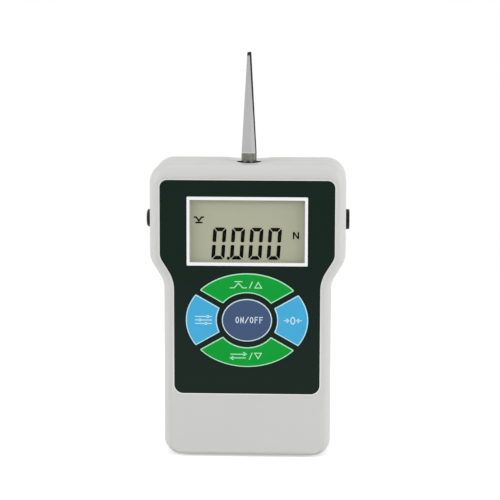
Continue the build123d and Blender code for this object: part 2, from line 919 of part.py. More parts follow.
turn = radians(blade_turn)
blade_plane = Plane(
    origin=(0, 0, collar_top_z), x_dir=(cos(turn), sin(turn), 0), z_dir=(sin(turn), -cos(turn), 0)
)
with BuildPart() as probe_blade:
    with BuildSketch(blade_plane) as wedge:
        with BuildLine():
            Polyline(
                (-blade_base_width / 2, 0),
                (blade_base_width / 2, 0),
                (blade_tip_width / 2, blade_length),
                (-blade_tip_width / 2, blade_length),
                close=True,
            )
        make_face()
        fillet(wedge.vertices().group_by(Axis.Y)[-1], radius=blade_tip_radius)
    extrude(amount=blade_depth / 2, both=True)
    with BuildSketch(Plane.XY.offset(collar_top_z)):
        Circle(spigot_thread_radius)
    extrude(amount=-blade_shank_length)
write(probe_blade.part, "probe_blade")

# Charging socket on the left: a domed bezel outside, a neck in the parting line and a body inside
with BuildPart() as charging_socket:
    with BuildSketch(Plane.YZ.offset(-half_width - charging_bezel_length)):
        with Locations((0, socket_z)):
            Circle(charging_bezel_radius)
    extrude(amount=charging_bezel_length)
    fillet(charging_socket.edges().group_by(Axis.X)[0], radius=charging_bezel_round)
    with BuildSketch(Plane.YZ.offset(-half_width)):
        with Locations((0, socket_z)):
            Circle(charging_neck_radius)
    extrude(amount=case_wall)
    with BuildSketch(Plane.YZ.offset(case_wall - half_width)):
        with Locations((0, socket_z)):
            Circle(charging_body_radius)
    extrude(amount=charging_body_length)
    with BuildSketch(Plane.YZ.offset(-half_width - charging_bezel_length)):
        with Locations((0, socket_z)):
            Circle(charging_bore_radius)
    extrude(amount=charging_bore_length, mode=Mode.SUBTRACT)
write(charging_socket.part, "charging_socket")

with BuildPart() as charging_pin:
    with BuildSketch(Plane.YZ.offset(-half_width - charging_bezel_length + charging_bore_length)):
        with Locations((0, socket_z)):
            Circle(charging_pin_radius)
    extrude(amount=-charging_pin_length)
write(charging_pin.part, "charging_pin")

# Data socket on the right: a body inside, a threaded neck through the wall and a ring nut outside
with BuildPart() as data_socket:
    with BuildSketch(Plane.YZ.offset(half_width - case_wall)):
        with Locations((0, socket_z)):
            Circle(data_body_radius)
    extrude(amount=-data_body_length)
    with BuildSketch(Plane.YZ.offset(half_width - case_wall)):
        with Locations((0, socket_z)):
            Circle(data_neck_radius)
    extrude(amount=case_wall + data_nut_length)
    with BuildSketch(Plane.YZ.offset(half_width + data_nut_length)):
        with Locations((0, socket_z)):
            Circle(data_bore_radius)
    extrude(amount=-data_bore_length, mode=Mode.SUBTRACT)
write(data_socket.part, "data_socket")

with BuildPart() as data_socket_nut:
    with BuildSketch(Plane.YZ.offset(half_width)):
        with Locations((0, socket_z)):
            Circle(data_nut_radius)
    extrude(amount=data_nut_length)
    chamfer(data_socket_nut.edges().group_by(Axis.X)[-1], length=data_nut_chamfer)
    with BuildSketch(Plane.YZ.offset(half_width)):
        with Locations((0, socket_z)):
            Circle(data_neck_radius + thread_clearance)
    extrude(amount=data_nut_length, mode=Mode.SUBTRACT)
write(data_socket_nut.part, "data_socket_nut")

# Battery: upright cells side by side in a tray that is screwed to the back plate
cell_places = [(index * battery_pitch - battery_spread, battery_y) for index in range(cell_count)]
with BuildPart() as battery_cells:
    with BuildSketch(Plane.XY.offset(battery_bottom_z)):
        with Locations(*cell_places):
            Circle(battery_radius)
    extrude(amount=battery_length)
    with BuildSketch(Plane.XY.offset(battery_bottom_z + battery_length)):
        with Locations(*cell_places):
            Circle(battery_pole_radius)
    extrude(amount=battery_pole_height)
write(battery_cells.part, "battery_cells")

tray_inner_half = battery_spread + battery_radius + tray_clearance
tray_bottom_z = case_wall + tray_clearance
with BuildPart() as battery_tray:
    with BuildSketch(Plane.XY.offset(tray_bottom_z)):
        with Locations((0, plate_front_y - tray_base / 2)):
            Rectangle(2 * (tray_inner_half + tray_wall), tray_base)
        for side in (-1, 1):
            with Locations((side * (tray_inner_half + tray_wall / 2), tray_front_y - tray_lip / 2)):
                Rectangle(tray_wall, tray_lip)
    extrude(amount=tray_length)
    with BuildSketch(Plane.XY.offset(tray_bottom_z)):
        with Locations((0, battery_y)):
            Rectangle(2 * tray_inner_half, 2 * (tray_front_y - battery_y))
    extrude(amount=battery_bottom_z - tray_clearance - tray_bottom_z)
    extrude(
        discs(plate_front_y, tray_screw_places, small_thread_radius + screw_clearance),
        amount=tray_base,
        mode=Mode.SUBTRACT,
    )
write(battery_tray.part, "battery_tray")

tray_screws = screw_group(
    tray_front_y,
    -1,
    tray_screw_places,
    small_head_radius,
    small_head_height,
    small_thread_radius,
    tray_base + tray_screw_bite,
)
write(tray_screws, "tray_screws")
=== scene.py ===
from math import cos, radians, sin

import bpy
import numpy as np
from mathutils import Matrix, Vector


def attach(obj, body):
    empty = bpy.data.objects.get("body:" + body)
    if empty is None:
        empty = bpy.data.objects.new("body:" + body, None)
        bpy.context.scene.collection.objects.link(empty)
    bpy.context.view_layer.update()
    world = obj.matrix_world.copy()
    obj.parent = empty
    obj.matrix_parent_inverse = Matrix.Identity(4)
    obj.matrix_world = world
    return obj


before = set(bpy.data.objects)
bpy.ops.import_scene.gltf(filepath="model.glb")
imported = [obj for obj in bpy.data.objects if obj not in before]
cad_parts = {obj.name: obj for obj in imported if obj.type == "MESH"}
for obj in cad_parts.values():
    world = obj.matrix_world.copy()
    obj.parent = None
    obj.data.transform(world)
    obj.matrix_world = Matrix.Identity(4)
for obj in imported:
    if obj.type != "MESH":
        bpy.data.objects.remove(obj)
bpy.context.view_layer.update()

# A handheld force gauge with a blade probe, dressed in the order in which it is put together.
# Lengths in the sections are in millimetres, with X right, -Y to the front and Z up.


# ---- View ----------------------------------------------------------------------------------------
# The gauge stands on its base and is seen from just right of straight ahead and a little above,
# through a long lens, so that its sides stay nearly parallel. MM turns millimetres into metres.
MM = 0.001
view_azimuth = radians(2.32)
view_elevation = radians(8.0)
view_roll = radians(0.14)
view_distance = 828.0
view_target = Vector((0.49, 0.0, 86.69))
view_focal_share = 3.848

backward = Vector(
    (
        sin(view_azimuth) * cos(view_elevation),
        -cos(view_azimuth) * cos(view_elevation),
        sin(view_elevation),
    )
)
level_right = Vector((0.0, 0.0, 1.0)).cross(backward).normalized()
level_up = backward.cross(level_right)
right = cos(view_roll) * level_right + sin(view_roll) * level_up
up = cos(view_roll) * level_up - sin(view_roll) * level_right

lens = bpy.data.cameras.new("view")
lens.sensor_width = 36.0
lens.lens = lens.sensor_width * view_focal_share
lens.clip_start = 0.01
lens.clip_end = 50.0
camera = bpy.data.objects.new("view", lens)
bpy.context.scene.collection.objects.link(camera)
place = (view_target + backward * view_distance) * MM
camera.matrix_world = Matrix.Translation(place) @ Matrix((right, up, backward)).transposed().to_4x4()
bpy.context.scene.camera = camera
bpy.context.scene.view_settings.view_transform = "Standard"


# ---- Studio --------------------------------------------------------------------------------------
# A pale floor that fades into a white room. Two broad lamps stand far out at the front left and right, with
# a weak one overhead, so that the housing is lit evenly and throws a soft shadow.
class Shade:
    """A socket of a node tree. Sums on it add the Math nodes that they need, so 1 - mask works."""

    def __init__(self, tree, socket=None):
        self.tree = tree
        self.socket = socket

    def node(self, kind, settings=None, sockets=None, output=0):
        """Adds a node: its settings first, then the value or the link of each socket named or numbered."""
        made = self.tree.nodes.new(kind)
        for name, value in (settings or {}).items():
            setattr(made, name, value)
        for name, value in (sockets or {}).items():
            if isinstance(value, Shade):
                self.tree.links.new(value.socket, made.inputs[name])
            else:
                made.inputs[name].default_value = value
        return Shade(self.tree, made.outputs[output])

    def maths(self, operation, *values):
        return self.node("ShaderNodeMath", {"operation": operation}, dict(enumerate(values)))

    def __add__(self, other):
        return self.maths("ADD", self, other)

    __radd__ = __add__

    def __sub__(self, other):
        return self.maths("SUBTRACT", self, other)

    def __rsub__(self, other):
        return self.maths("SUBTRACT", other, self)

    def __mul__(self, other):
        return self.maths("MULTIPLY", self, other)

    __rmul__ = __mul__

    def __gt__(self, other):
        return self.maths("GREATER_THAN", self, other)

    def __lt__(self, other):
        return self.maths("LESS_THAN", self, other)


def start_finish(name):
    """An empty material, and the Shade that its nodes are added from."""
    material = bpy.data.materials.new(name)
    material.use_nodes = True
    material.node_tree.nodes.clear()
    return material, Shade(material.node_tree)


def close_finish(start, shader):
    """Links the last shader to the material's output."""
    end = start.tree.nodes.new("ShaderNodeOutputMaterial")
    start.tree.links.new(shader.socket, end.inputs["Surface"])


def smooth_step(value, low, high):
    """0 up to low and 1 from high on, easing between them. low may be the larger of the two."""
    return value.node(
        "ShaderNodeMapRange",
        {"interpolation_type": "SMOOTHSTEP"},
        {"Value": value, "From Min": low, "From Max": high},
    )


def seen_by_eye(start):
    """1 for rays from the camera, from a reflection or through glass, and 0 for those that carry light."""
    path = start.node("ShaderNodeLightPath")
    outputs = path.socket.node.outputs
    rays = [Shade(start.tree, outputs[f"Is {kind} Ray"]) for kind in ("Camera", "Glossy", "Transmission")]
    return rays[0].maths("MAXIMUM", rays[0], rays[1].maths("MAXIMUM", rays[1], rays[2]))


def noise(start, scale, detail=2.0, stretch=(1.0, 1.0, 1.0)):
    """Cloudy noise from 0 to 1 in the piece's own coordinates: scale is features a metre, times stretch."""
    own = start.node("ShaderNodeTexCoord", output=3)
    shaped = start.node("ShaderNodeMapping", sockets={"Vector": own, "Scale": stretch})
    return start.node(
        "ShaderNodeTexNoise",
        sockets={"Vector": shaped, "Scale": scale, "Detail": detail},
    )


def blend(mask, first, second):
    """The first colour where the mask is 0 and the second where it is 1."""
    colours = [colour if isinstance(colour, Shade) else (*colour, 1.0) for colour in (first, second)]
    return mask.node(
        "ShaderNodeMix",
        {"data_type": "RGBA"},
        {"Factor": mask, 6: colours[0], 7: colours[1]},
        output=2,
    )


def lay_floor(radius, rings, spokes):
    """A disc: rings of points at growing radius, r = radius * (i / rings)^2, and one face in the middle."""
    reach = radius * (np.arange(1, rings + 1) / rings) ** 2
    turn = np.linspace(0, 2 * np.pi, spokes, endpoint=False)
    grid = np.stack(
        [
            reach[:, None] * np.cos(turn),
            reach[:, None] * np.sin(turn),
            np.zeros((rings, spokes)),
        ],
        axis=-1,
    )
    row = np.arange(rings - 1)[:, None] * spokes
    here = np.arange(spokes)[None, :]
    after = (here + 1) % spokes
    squares = np.stack([row + here, row + spokes + here, row + spokes + after, row + after], axis=-1)
    mesh = bpy.data.meshes.new("floor")
    mesh.from_pydata(
        (grid.reshape(-1, 3) * MM).tolist(),
        [],
        [list(range(spokes))] + squares.reshape(-1, 4).tolist(),
    )
    return mesh


floor_radius = 6000.0
floor_rings = 48
floor_spokes = 96
floor_dark = (0.85, 0.85, 0.85)
floor_light = (0.87, 0.87, 0.87)
floor_lift = 0.40
floor_fade_from = 160.0
floor_fade_to = 750.0
floor_paint, start = start_finish("floor_paper")
paper = blend(noise(start, 900.0, 3.0), floor_dark, floor_light)
lit = start.node("ShaderNodeBsdfDiffuse", sockets={"Color": paper})
lift = start.node("ShaderNodeEmission", sockets={"Strength": floor_lift * seen_by_eye(start)})
white = start.node("ShaderNodeEmission", sockets={"Strength": 1.0})
coordinate = start.node("ShaderNodeTexCoord", output=3)
distance = start.node("ShaderNodeVectorMath", {"operation": "LENGTH"}, {0: coordinate}, output=1)
fade = smooth_step(distance, floor_fade_from * MM, floor_fade_to * MM) * seen_by_eye(start)
close_finish(
    start,
    start.node(
        "ShaderNodeMixShader",
        sockets={0: fade, 1: start.node("ShaderNodeAddShader", sockets={0: lit, 1: lift}), 2: white},
    ),
)
floor = bpy.data.objects.new("floor", lay_floor(floor_radius, floor_rings, floor_spokes))
floor.data.materials.append(floor_paint)
bpy.context.scene.collection.objects.link(floor)

room_light = 0.62
room = bpy.data.worlds.new("room")
room.use_nodes = True
room.node_tree.nodes.clear()
start = Shade(room.node_tree)
straight = seen_by_eye(start)
sky = start.node(
    "ShaderNodeBackground",
    sockets={"Color": (1.0, 1.0, 1.0, 1.0), "Strength": straight * (1 - room_light) + room_light},
)
room_out = room.node_tree.nodes.new("ShaderNodeOutputWorld")
room.node_tree.links.new(sky.socket, room_out.inputs["Surface"])
bpy.context.scene.world = room

# Each lamp's place, width and power in watts.
lamp_aim = Vector((0.0, 0.0, 70.0))
lamps = {
    "front_left": ((-1240.0, -600.0, 560.0), 800.0, 8.1),
    "front_right": ((1290.0, -540.0, 500.0), 800.0, 9.2),
    "overhead": ((0.0, 50.0, 1250.0), 1000.0, 1.6),
}
for name, (spot, size, power) in lamps.items():
    lamp = bpy.data.lights.new(name, "AREA")
    lamp.size = size * MM
    lamp.energy = power
    holder = bpy.data.objects.new(name, lamp)
    holder.location = Vector(spot) * MM
    holder.rotation_euler = (Vector(spot) - lamp_aim).to_track_quat("Z", "Y").to_euler()
    bpy.context.scene.collection.objects.link(holder)


# ---- Load cell -----------------------------------------------------------------------------------
# An S-shaped bending beam, milled from aluminium bar and bolted by its lower end to the back plate.
# Four foil gauges are glued in its window, over the thin parts that bend.
def relief(height, depth):
    """A normal from a height of 0 to 1 that stands for depth millimetres."""
    return height.node("ShaderNodeBump", sockets={"Height": height, "Distance": depth * MM})


def surface(start, colour, roughness, normal=None, **fixed):
    """A Principled shader as the finish's surface. fixed holds its other sockets, with _ for a space."""
    sockets = {"Base Color": colour, "Roughness": roughness}
    if normal is not None:
        sockets["Normal"] = normal
    sockets.update({name.replace("_", " "): value for name, value in fixed.items()})
    close_finish(start, start.node("ShaderNodeBsdfPrincipled", sockets=sockets))


def wear(material, *names):
    """Gives the material to every slot of the named CAD nodes."""
    for name in names:
        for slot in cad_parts[name].material_slots:
            slot.material = material


machined_alloy, start = start_finish("machined_alloy")
passes = noise(start, 90.0, 3.0, (1.0, 1.0, 26.0))
surface(
    start,
    blend(passes, (0.62, 0.63, 0.65), (0.78, 0.79, 0.80)),
    passes * 0.14 + 0.30,
    relief(passes, 0.01),
    Metallic=1.0,
)
wear(machined_alloy, "load_cell")

gauge_film, start = start_finish("gauge_film")
glue = noise(start, 1400.0, 3.0)
surface(start, blend(glue, (0.55, 0.30, 0.07), (0.72, 0.45, 0.14)), glue * 0.2 + 0.35, Coat_Weight=0.4)
wear(gauge_film, "strain_gauges")


# ---- Back plate ----------------------------------------------------------------------------------
# A cast aluminium plate that carries the load cell, with four threaded spigots that show through the
# rear cover. Machine screws from behind hold the rear cover to it.
cast_alloy, start = start_finish("cast_alloy")
sand = noise(start, 1500.0, 4.0)
cloud = noise(start, 60.0, 2.0)
surface(
    start,
    blend(cloud, (0.46, 0.47, 0.48), (0.60, 0.61, 0.62)),
    sand * 0.2 + 0.36,
    relief(sand, 0.03),
    Metallic=1.0,
)
wear(cast_alloy, "back_plate")


# ---- Screws and the cell's bolt ------------------------------------------------------------------
# Socket head screws in zinc-plated steel, bought in, with turned heads and rolled threads. They hold the
# load cell, the back plate, the rear cover, the boards and the battery's tray.
plated_steel, start = start_finish("plated_steel")
tarnish = noise(start, 420.0, 4.0)
tooled = noise(start, 2600.0, 2.0, (1.0, 6.0, 1.0))
surface(
    start,
    blend(tarnish, (0.42, 0.43, 0.45), (0.62, 0.62, 0.61)),
    tooled * 0.16 + 0.22,
    relief(tooled, 0.006),
    Metallic=1.0,
)
wear(
    plated_steel,
    "cell_bolt",
    "plate_screws",
    "case_screws",
    "board_screws",
    "key_circuit_screws",
    "tray_screws",
)


# ---- Battery and its tray ------------------------------------------------------------------------
# Three rechargeable cells in blue shrink sleeve, side by side at the bottom of the case. A black moulded
# tray with screws of its own holds them.
sleeve, start = start_finish("shrink_sleeve")
wrinkle = noise(start, 320.0, 3.0, (1.0, 1.0, 0.25))
surface(
    start,
    blend(wrinkle, (0.02, 0.13, 0.34), (0.04, 0.20, 0.46)),
    wrinkle * 0.12 + 0.24,
    relief(wrinkle, 0.03),
)
wear(sleeve, "battery_cells")

inner_moulding, start = start_finish("inner_moulding")
sparked = noise(start, 2200.0, 3.0)
tray_black = blend(sparked, (0.045, 0.045, 0.047), (0.065, 0.065, 0.067))
surface(start, tray_black, sparked * 0.2 + 0.5, relief(sparked, 0.02))
wear(inner_moulding, "battery_tray")


# ---- Circuit boards ------------------------------------------------------------------------------
# Glass fibre boards under green mask: the main board with its chips and pin header, and the narrow board
# behind the keys with five steel snap domes on it.
board_mask, start = start_finish("board_mask")
weave = noise(start, 1900.0, 1.0)
copper_edge = 0.52
pour = noise(start, 140.0, 0.0, (1.0, 0.2, 1.0)) > copper_edge
surface(
    start,
    blend(pour, (0.006, 0.085, 0.035), (0.012, 0.14, 0.055)),
    weave * 0.15 + 0.28,
    relief(pour, 0.02),
    Coat_Weight=0.3,
)
wear(board_mask, "main_board", "key_circuit")

chip_moulding, start = start_finish("chip_moulding")
speck = noise(start, 4200.0, 3.0)
chip_black = blend(speck, (0.018, 0.018, 0.019), (0.032, 0.032, 0.033))
surface(start, chip_black, speck * 0.2 + 0.45, relief(speck, 0.008))
wear(chip_moulding, "board_chips", "board_header")

dome_steel, start = start_finish("dome_steel")
stamped = noise(start, 1300.0, 3.0)
surface(start, blend(stamped, (0.60, 0.59, 0.56), (0.74, 0.73, 0.70)), stamped * 0.12 + 0.2, Metallic=1.0)
wear(dome_steel, "snap_domes")


# ---- Display -------------------------------------------------------------------------------------
# A grey-green liquid crystal glass with rubber contact strips and a white diffuser behind it. In front are
# a moulded white frame and a clear window, which snap into the front cover.
def plate(outline, back_y, front_y):
    """A closed plate: the outline (x, z), anticlockwise from the front, at the back and at the front,
    with a wall of squares between them and one face over each end."""
    outline = np.asarray(outline, float)
    count = len(outline)
    back = np.column_stack([outline[:, 0], np.full(count, back_y), outline[:, 1]])
    front = np.column_stack([outline[:, 0], np.full(count, front_y), outline[:, 1]])
    here = np.arange(count)
    after = (here + 1) % count
    walls = np.stack([here + count, here, after, after + count], axis=-1)
    faces = [list(here[::-1]), list(here + count)] + walls.tolist()
    return np.vstack([back, front]), faces


def band(outer, inner, back_y, front_y):
    """A closed band: a four-point profile (outer back, outer front, inner front, inner back) carried
    round two outlines that have the same number of points, anticlockwise from the front."""
    rows = [
        np.column_stack([edge[:, 0], np.full(len(edge), y), edge[:, 1]])
        for edge, y in ((outer, back_y), (outer, front_y), (inner, front_y), (inner, back_y))
    ]
    count = len(outer)
    row = np.arange(4)[:, None] * count
    below = np.roll(np.arange(4), -1)[:, None] * count
    here = np.arange(count)[None, :]
    after = (here + 1) % count
    faces = np.stack([row + here, row + after, below + after, below + here], axis=-1)
    return np.vstack(rows), faces.reshape(-1, 4).tolist()


def stroke(points, width, back_y, front_y):
    """A line of the given width along points (x, z): each point moved half the width to both sides, along
    the mitre of its two runs, with square ends. The mitre of a very sharp corner is held short."""
    sharpest = 0.35
    points = np.asarray(points, float)
    run = np.diff(points, axis=0)
    run /= np.linalg.norm(run, axis=1)[:, None]
    before = np.vstack([run[:1], run])
    after = np.vstack([run, run[-1:]])
    mitre = before + after
    mitre /= np.linalg.norm(mitre, axis=1)[:, None]
    side = np.column_stack([-mitre[:, 1], mitre[:, 0]])
    reach = width / 2 / np.maximum((mitre * before).sum(axis=1), sharpest)
    left = points + side * reach[:, None]
    right_side = points - side * reach[:, None]
    return plate(np.vstack([right_side, left[::-1]]), back_y, front_y)


def build(name, solids, material, body):
    """One piece from several closed solids, in millimetres, riding on a body."""
    points, faces, count = [], [], 0
    for solid_points, solid_faces in solids:
        points.append(solid_points)
        faces += [[int(corner) + count for corner in face] for face in solid_faces]
        count += len(solid_points)
    mesh = bpy.data.meshes.new(name)
    mesh.from_pydata((np.vstack(points) * MM).tolist(), [], faces)
    mesh.materials.append(material)
    piece = bpy.data.objects.new(name, mesh)
    bpy.context.scene.collection.objects.link(piece)
    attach(piece, body)
    return piece


liquid_crystal, start = start_finish("liquid_crystal")
film = noise(start, 2600.0, 2.0)
cloud = noise(start, 45.0, 1.0)
glass_colour = blend(cloud, (0.475, 0.490, 0.352), (0.500, 0.512, 0.372))
surface(start, glass_colour, film * 0.06 + 0.32, Specular_IOR_Level=0.25)
wear(liquid_crystal, "lcd_glass")

diffuser_white, start = start_finish("diffuser_white")
milk = noise(start, 900.0, 2.0)
surface(start, blend(milk, (0.80, 0.81, 0.79), (0.86, 0.87, 0.85)), milk * 0.1 + 0.45)
wear(diffuser_white, "lcd_backlight")

contact_rubber, start = start_finish("contact_rubber")
layers = noise(start, 900.0, 1.0, (6.0, 1.0, 1.0))
surface(start, blend(layers, (0.02, 0.02, 0.02), (0.07, 0.07, 0.07)), layers * 0.1 + 0.6)
wear(contact_rubber, "lcd_contact_strips")


def along(start, axis, output=3):
    """One part of the piece's own coordinates (output 3) or its normal (output 1), with axis 0, 1 or 2."""
    own = start.node("ShaderNodeTexCoord", output=output)
    return start.node("ShaderNodeSeparateXYZ", sockets={0: own}, output=axis)


# The frame is white all over, apart from a narrow lip round its opening on its front face, which is painted
# grey as painted shade.
display_z = 97.0
opening_half = (24.03, 13.13)
lip_wide = 0.33
lip_tall = 0.15
lip_faces_front = -0.9
white_moulding, start = start_finish("white_moulding")
orange_peel = noise(start, 700.0, 2.0)
off_x = start.maths("ABSOLUTE", along(start, 0))
off_z = start.maths("ABSOLUTE", along(start, 2) - display_z * MM)
shaded_lip = (off_x < (opening_half[0] + lip_wide) * MM) * (off_z < (opening_half[1] + lip_tall) * MM)
shaded_lip = shaded_lip * (along(start, 1, output=1) < lip_faces_front)
frame_white = blend(orange_peel, (0.86, 0.872, 0.885), (0.89, 0.898, 0.91))
surface(
    start,
    blend(shaded_lip, frame_white, (0.36, 0.37, 0.37)),
    orange_peel * 0.08 + 0.34,
    relief(orange_peel, 0.004),
    Specular_IOR_Level=0.3,
)
wear(white_moulding, "display_frame")

clear_window, start = start_finish("clear_window")
smear = noise(start, 160.0, 3.0)
surface(
    start,
    blend(smear, (0.01, 0.01, 0.01), (0.03, 0.03, 0.03)),
    smear * 0.04 + 0.05,
    Specular_IOR_Level=0.1,
    Alpha=0.05,
)
wear(clear_window, "display_window")

lcd_front = -15.9
ink_depth = 0.02
lcd_face = dict(back_y=lcd_front, front_y=lcd_front - ink_depth)
digit_width = 5.6
digit_height = 13.6
digit_stroke = 1.58
digit_lean = 0.07
digit_base = 84.8
digit_left = (-14.8, -6.96, 0.81, 8.57)


def segments(left):
    """The six lit segments of a nought: bars with their ends cut back at about 45 degrees, then leant to
    the right by x + lean * (z - half the height)."""
    wide, tall, thick = digit_width, digit_height, digit_stroke
    cut = 0.55
    gap = 0.11
    nick = 0.25
    slack = 0.1
    shoulder = 0.85
    point = 0.5
    corner_in, corner_over, corner_down = 0.12, 0.4, 0.3
    middle = tall / 2
    end = cut + gap
    across = np.array(
        [
            (end + nick, tall),
            (wide - end - nick, tall),
            (wide - end, tall - nick),
            (wide - thick - gap - slack, tall - thick),
            (thick + gap + slack, tall - thick),
            (end, tall - nick),
        ]
    )[::-1]
    upright = np.array(
        [
            (corner_in, tall - end),
            (corner_over, tall - end + slack),
            (thick, tall - thick - gap - slack),
            (thick, middle + shoulder),
            (thick / 2, middle + point),
            (0.0, middle + shoulder),
            (0.0, tall - end - corner_down),
        ]
    )[::-1]
    bars = []
    for bar in (across, upright):
        over = np.column_stack([wide - bar[:, 0], bar[:, 1]])[::-1]
        under = np.column_stack([bar[:, 0], tall - bar[:, 1]])[::-1]
        both = np.column_stack([wide - bar[:, 0], tall - bar[:, 1]])
        bars += [bar, under] if bar is across else [bar, over, under, both]
    placed = [
        np.column_stack([left + bar[:, 0] + digit_lean * (bar[:, 1] - middle), digit_base + bar[:, 1]])
        for bar in bars
    ]
    return [plate(bar, **lcd_face) for bar in placed]


def rounded(centre_x, centre_z, radius, points=24):
    """A circle of points, anticlockwise from the front: centre + radius * (cos t, sin t)."""
    turn = np.linspace(0, 2 * np.pi, points, endpoint=False)
    return np.column_stack([centre_x + radius * np.cos(turn), centre_z + radius * np.sin(turn)])


lcd_ink, start = start_finish("lit_segments")
depth_of_black = noise(start, 500.0, 2.0)
surface(
    start,
    blend(depth_of_black, (0.001, 0.001, 0.001), (0.003, 0.003, 0.002)),
    depth_of_black * 0.05 + 0.45,
    Specular_IOR_Level=0.05,
)
point_x, point_z, point_radius = -8.05, 85.35, 0.68
digits = [bar for left in digit_left for bar in segments(left)]
digits.append(plate(rounded(point_x, point_z, point_radius), **lcd_face))
build("lcd_digits", digits, lcd_ink, "housing")

# The unit's letter N stands at the right, and a trough over a bar, for the lowest reading, at the left.
unit_left, unit_right = 19.5, 21.5
unit_low, unit_high = 93.7, 96.75
slant_in, slant_down = 0.1, 0.25
unit_stroke = 0.62
unit_lines = [
    [(unit_left, unit_low), (unit_left, unit_high)],
    [(unit_left + slant_in, unit_high - slant_down), (unit_right - slant_in, unit_low + slant_down)],
    [(unit_right, unit_high), (unit_right, unit_low)],
]
lowest_stroke = 0.68
lowest_lines = [
    [(-22.6, 102.75), (-21.6, 102.75), (-20.45, 101.15), (-19.3, 102.75), (-18.3, 102.75)],
    [(-22.0, 100.45), (-18.9, 100.45)],
]
lcd_signs = [stroke(line, unit_stroke, **lcd_face) for line in unit_lines]
lcd_signs += [stroke(line, lowest_stroke, **lcd_face) for line in lowest_lines]
build("lcd_marks", lcd_signs, lcd_ink, "housing")


# ---- Housing -------------------------------------------------------------------------------------
# Two light grey ABS covers, injection moulded with a fine sparked texture, that meet in a tongue and groove
# round the middle, where a thin seam shows. The rear one is screwed to the front one at its four corners.
# The wall of the bore round the stem is painted near-black as painted shade.
bore_radius = 5.2
bore_shade = 0.12
bore_above = 120.0
# The covers are painted darker towards the base as painted shade, made patchy by a noise that also varies
# their roughness.
foot_shade_from = 2.7
foot_shade_to = 0.9
seam_half = 0.11
housing_grey, start = start_finish("housing_grey")
texture = noise(start, 2300.0, 4.0)
flow = noise(start, 26.0, 2.0)
handling_and_shade = noise(start, 110.0, 3.0)
from_axis = start.maths("SQRT", along(start, 0) * along(start, 0) + along(start, 1) * along(start, 1))
shaded_bore = (from_axis < (bore_radius + bore_shade) * MM) * (along(start, 2) > bore_above * MM)
foot_shade = smooth_step(along(start, 2), foot_shade_from * MM, foot_shade_to * MM) * (handling_and_shade * 0.4 + 0.8)
cover_colour = blend(flow, (0.580, 0.582, 0.572), (0.602, 0.604, 0.592))
cover_colour = blend(foot_shade, cover_colour, (0.44, 0.44, 0.43))
seam = start.maths("ABSOLUTE", along(start, 1)) < seam_half * MM
cover_colour = blend(seam, cover_colour, (0.24, 0.24, 0.23))
surface(
    start,
    blend(shaded_bore, cover_colour, (0.03, 0.03, 0.03)),
    handling_and_shade * 0.12 + 0.36,
    relief(texture, 0.012),
    Specular_IOR_Level=0.4,
)
wear(housing_grey, "front_shell", "rear_shell")


# ---- Panel sheet ---------------------------------------------------------------------------------
# A polyester sheet, screen printed dark green-black on its back and glued into a recess of the front cover.
# A thin clear margin shows all round the print.
sheet_front = -18.0
# The print is painted lighter towards the bottom, as painted light.
lighter_from = 95.0
lighter_to = 30.0
panel_film, start = start_finish("panel_film")
orange_peel = noise(start, 1500.0, 3.0)
ink = noise(start, 55.0, 3.0)
light_below = smooth_step(along(start, 2), lighter_from * MM, lighter_to * MM)
black_green = blend(ink, (0.0040, 0.0130, 0.0088), (0.0062, 0.0156, 0.0112))
surface(
    start,
    blend(light_below, black_green, (0.0090, 0.0180, 0.0138)),
    orange_peel * 0.1 + 0.42,
    relief(orange_peel, 0.004),
    Specular_IOR_Level=0.08,
)
wear(panel_film, "panel_overlay")

sheet_low, sheet_high = 27.5, 118.6
grip_half, head_half = 30.87, 36.87
low_radius, high_radius = 3.8, 3.1
hollow_radius, shoulder_radius = 15.13, 5.87
waist_z = 79.7
waist_swing = 32.0
waist_radius = 10.5
corner_points = 17
waist_rise = (head_half - grip_half) / np.tan(radians(waist_swing))
waist_half = waist_rise / 2 + waist_radius * np.tan(radians(waist_swing) / 2)
panel_corners = [
    (grip_half - low_radius, sheet_low + low_radius, low_radius, 1.0, -90.0, 0.0),
    (grip_half + hollow_radius, waist_z - waist_half, hollow_radius, -1.0, 180.0, 180.0 - waist_swing),
    (head_half - shoulder_radius, waist_z + waist_half, shoulder_radius, 1.0, -waist_swing, 0.0),
    (head_half - high_radius, sheet_high - high_radius, high_radius, 1.0, 0.0, 90.0),
]


def panel_outline(grow):
    """The sheet's outline, moved out by grow. A corner of its right side, given as its centre, radius, way
    and first and last angle, is centre + (radius + way * grow) * (cos t, sin t). The left side mirrors it.
    The way is 1 on a round corner and -1 in a hollow one, so the radius grows or shrinks."""
    side = []
    for centre_x, centre_z, radius, way, first, last in panel_corners:
        turn = np.radians(np.linspace(first, last, corner_points))
        reach = radius + way * grow
        side.append(np.column_stack([centre_x + reach * np.cos(turn), centre_z + reach * np.sin(turn)]))
    right = np.vstack(side)
    return np.vstack([right, right[::-1] * (-1.0, 1.0)])


margin_from = 0.04
margin_to = 0.40
margin_depth = 0.02
# The margin is painted lighter towards the bottom, as painted light.
clear_from = 70.0
clear_to = 30.0
clear_margin, start = start_finish("clear_margin")
cut = noise(start, 1200.0, 2.0)
margin_light_below = smooth_step(along(start, 2), clear_from * MM, clear_to * MM)
film_edge = blend(cut, (0.66, 0.67, 0.66), (0.72, 0.73, 0.72))
surface(start, blend(margin_light_below, film_edge, (0.84, 0.85, 0.84)), cut * 0.1 + 0.3)
margin = band(panel_outline(margin_to), panel_outline(margin_from), sheet_front, sheet_front - margin_depth)
build("panel_margin", [margin], clear_margin, "housing")


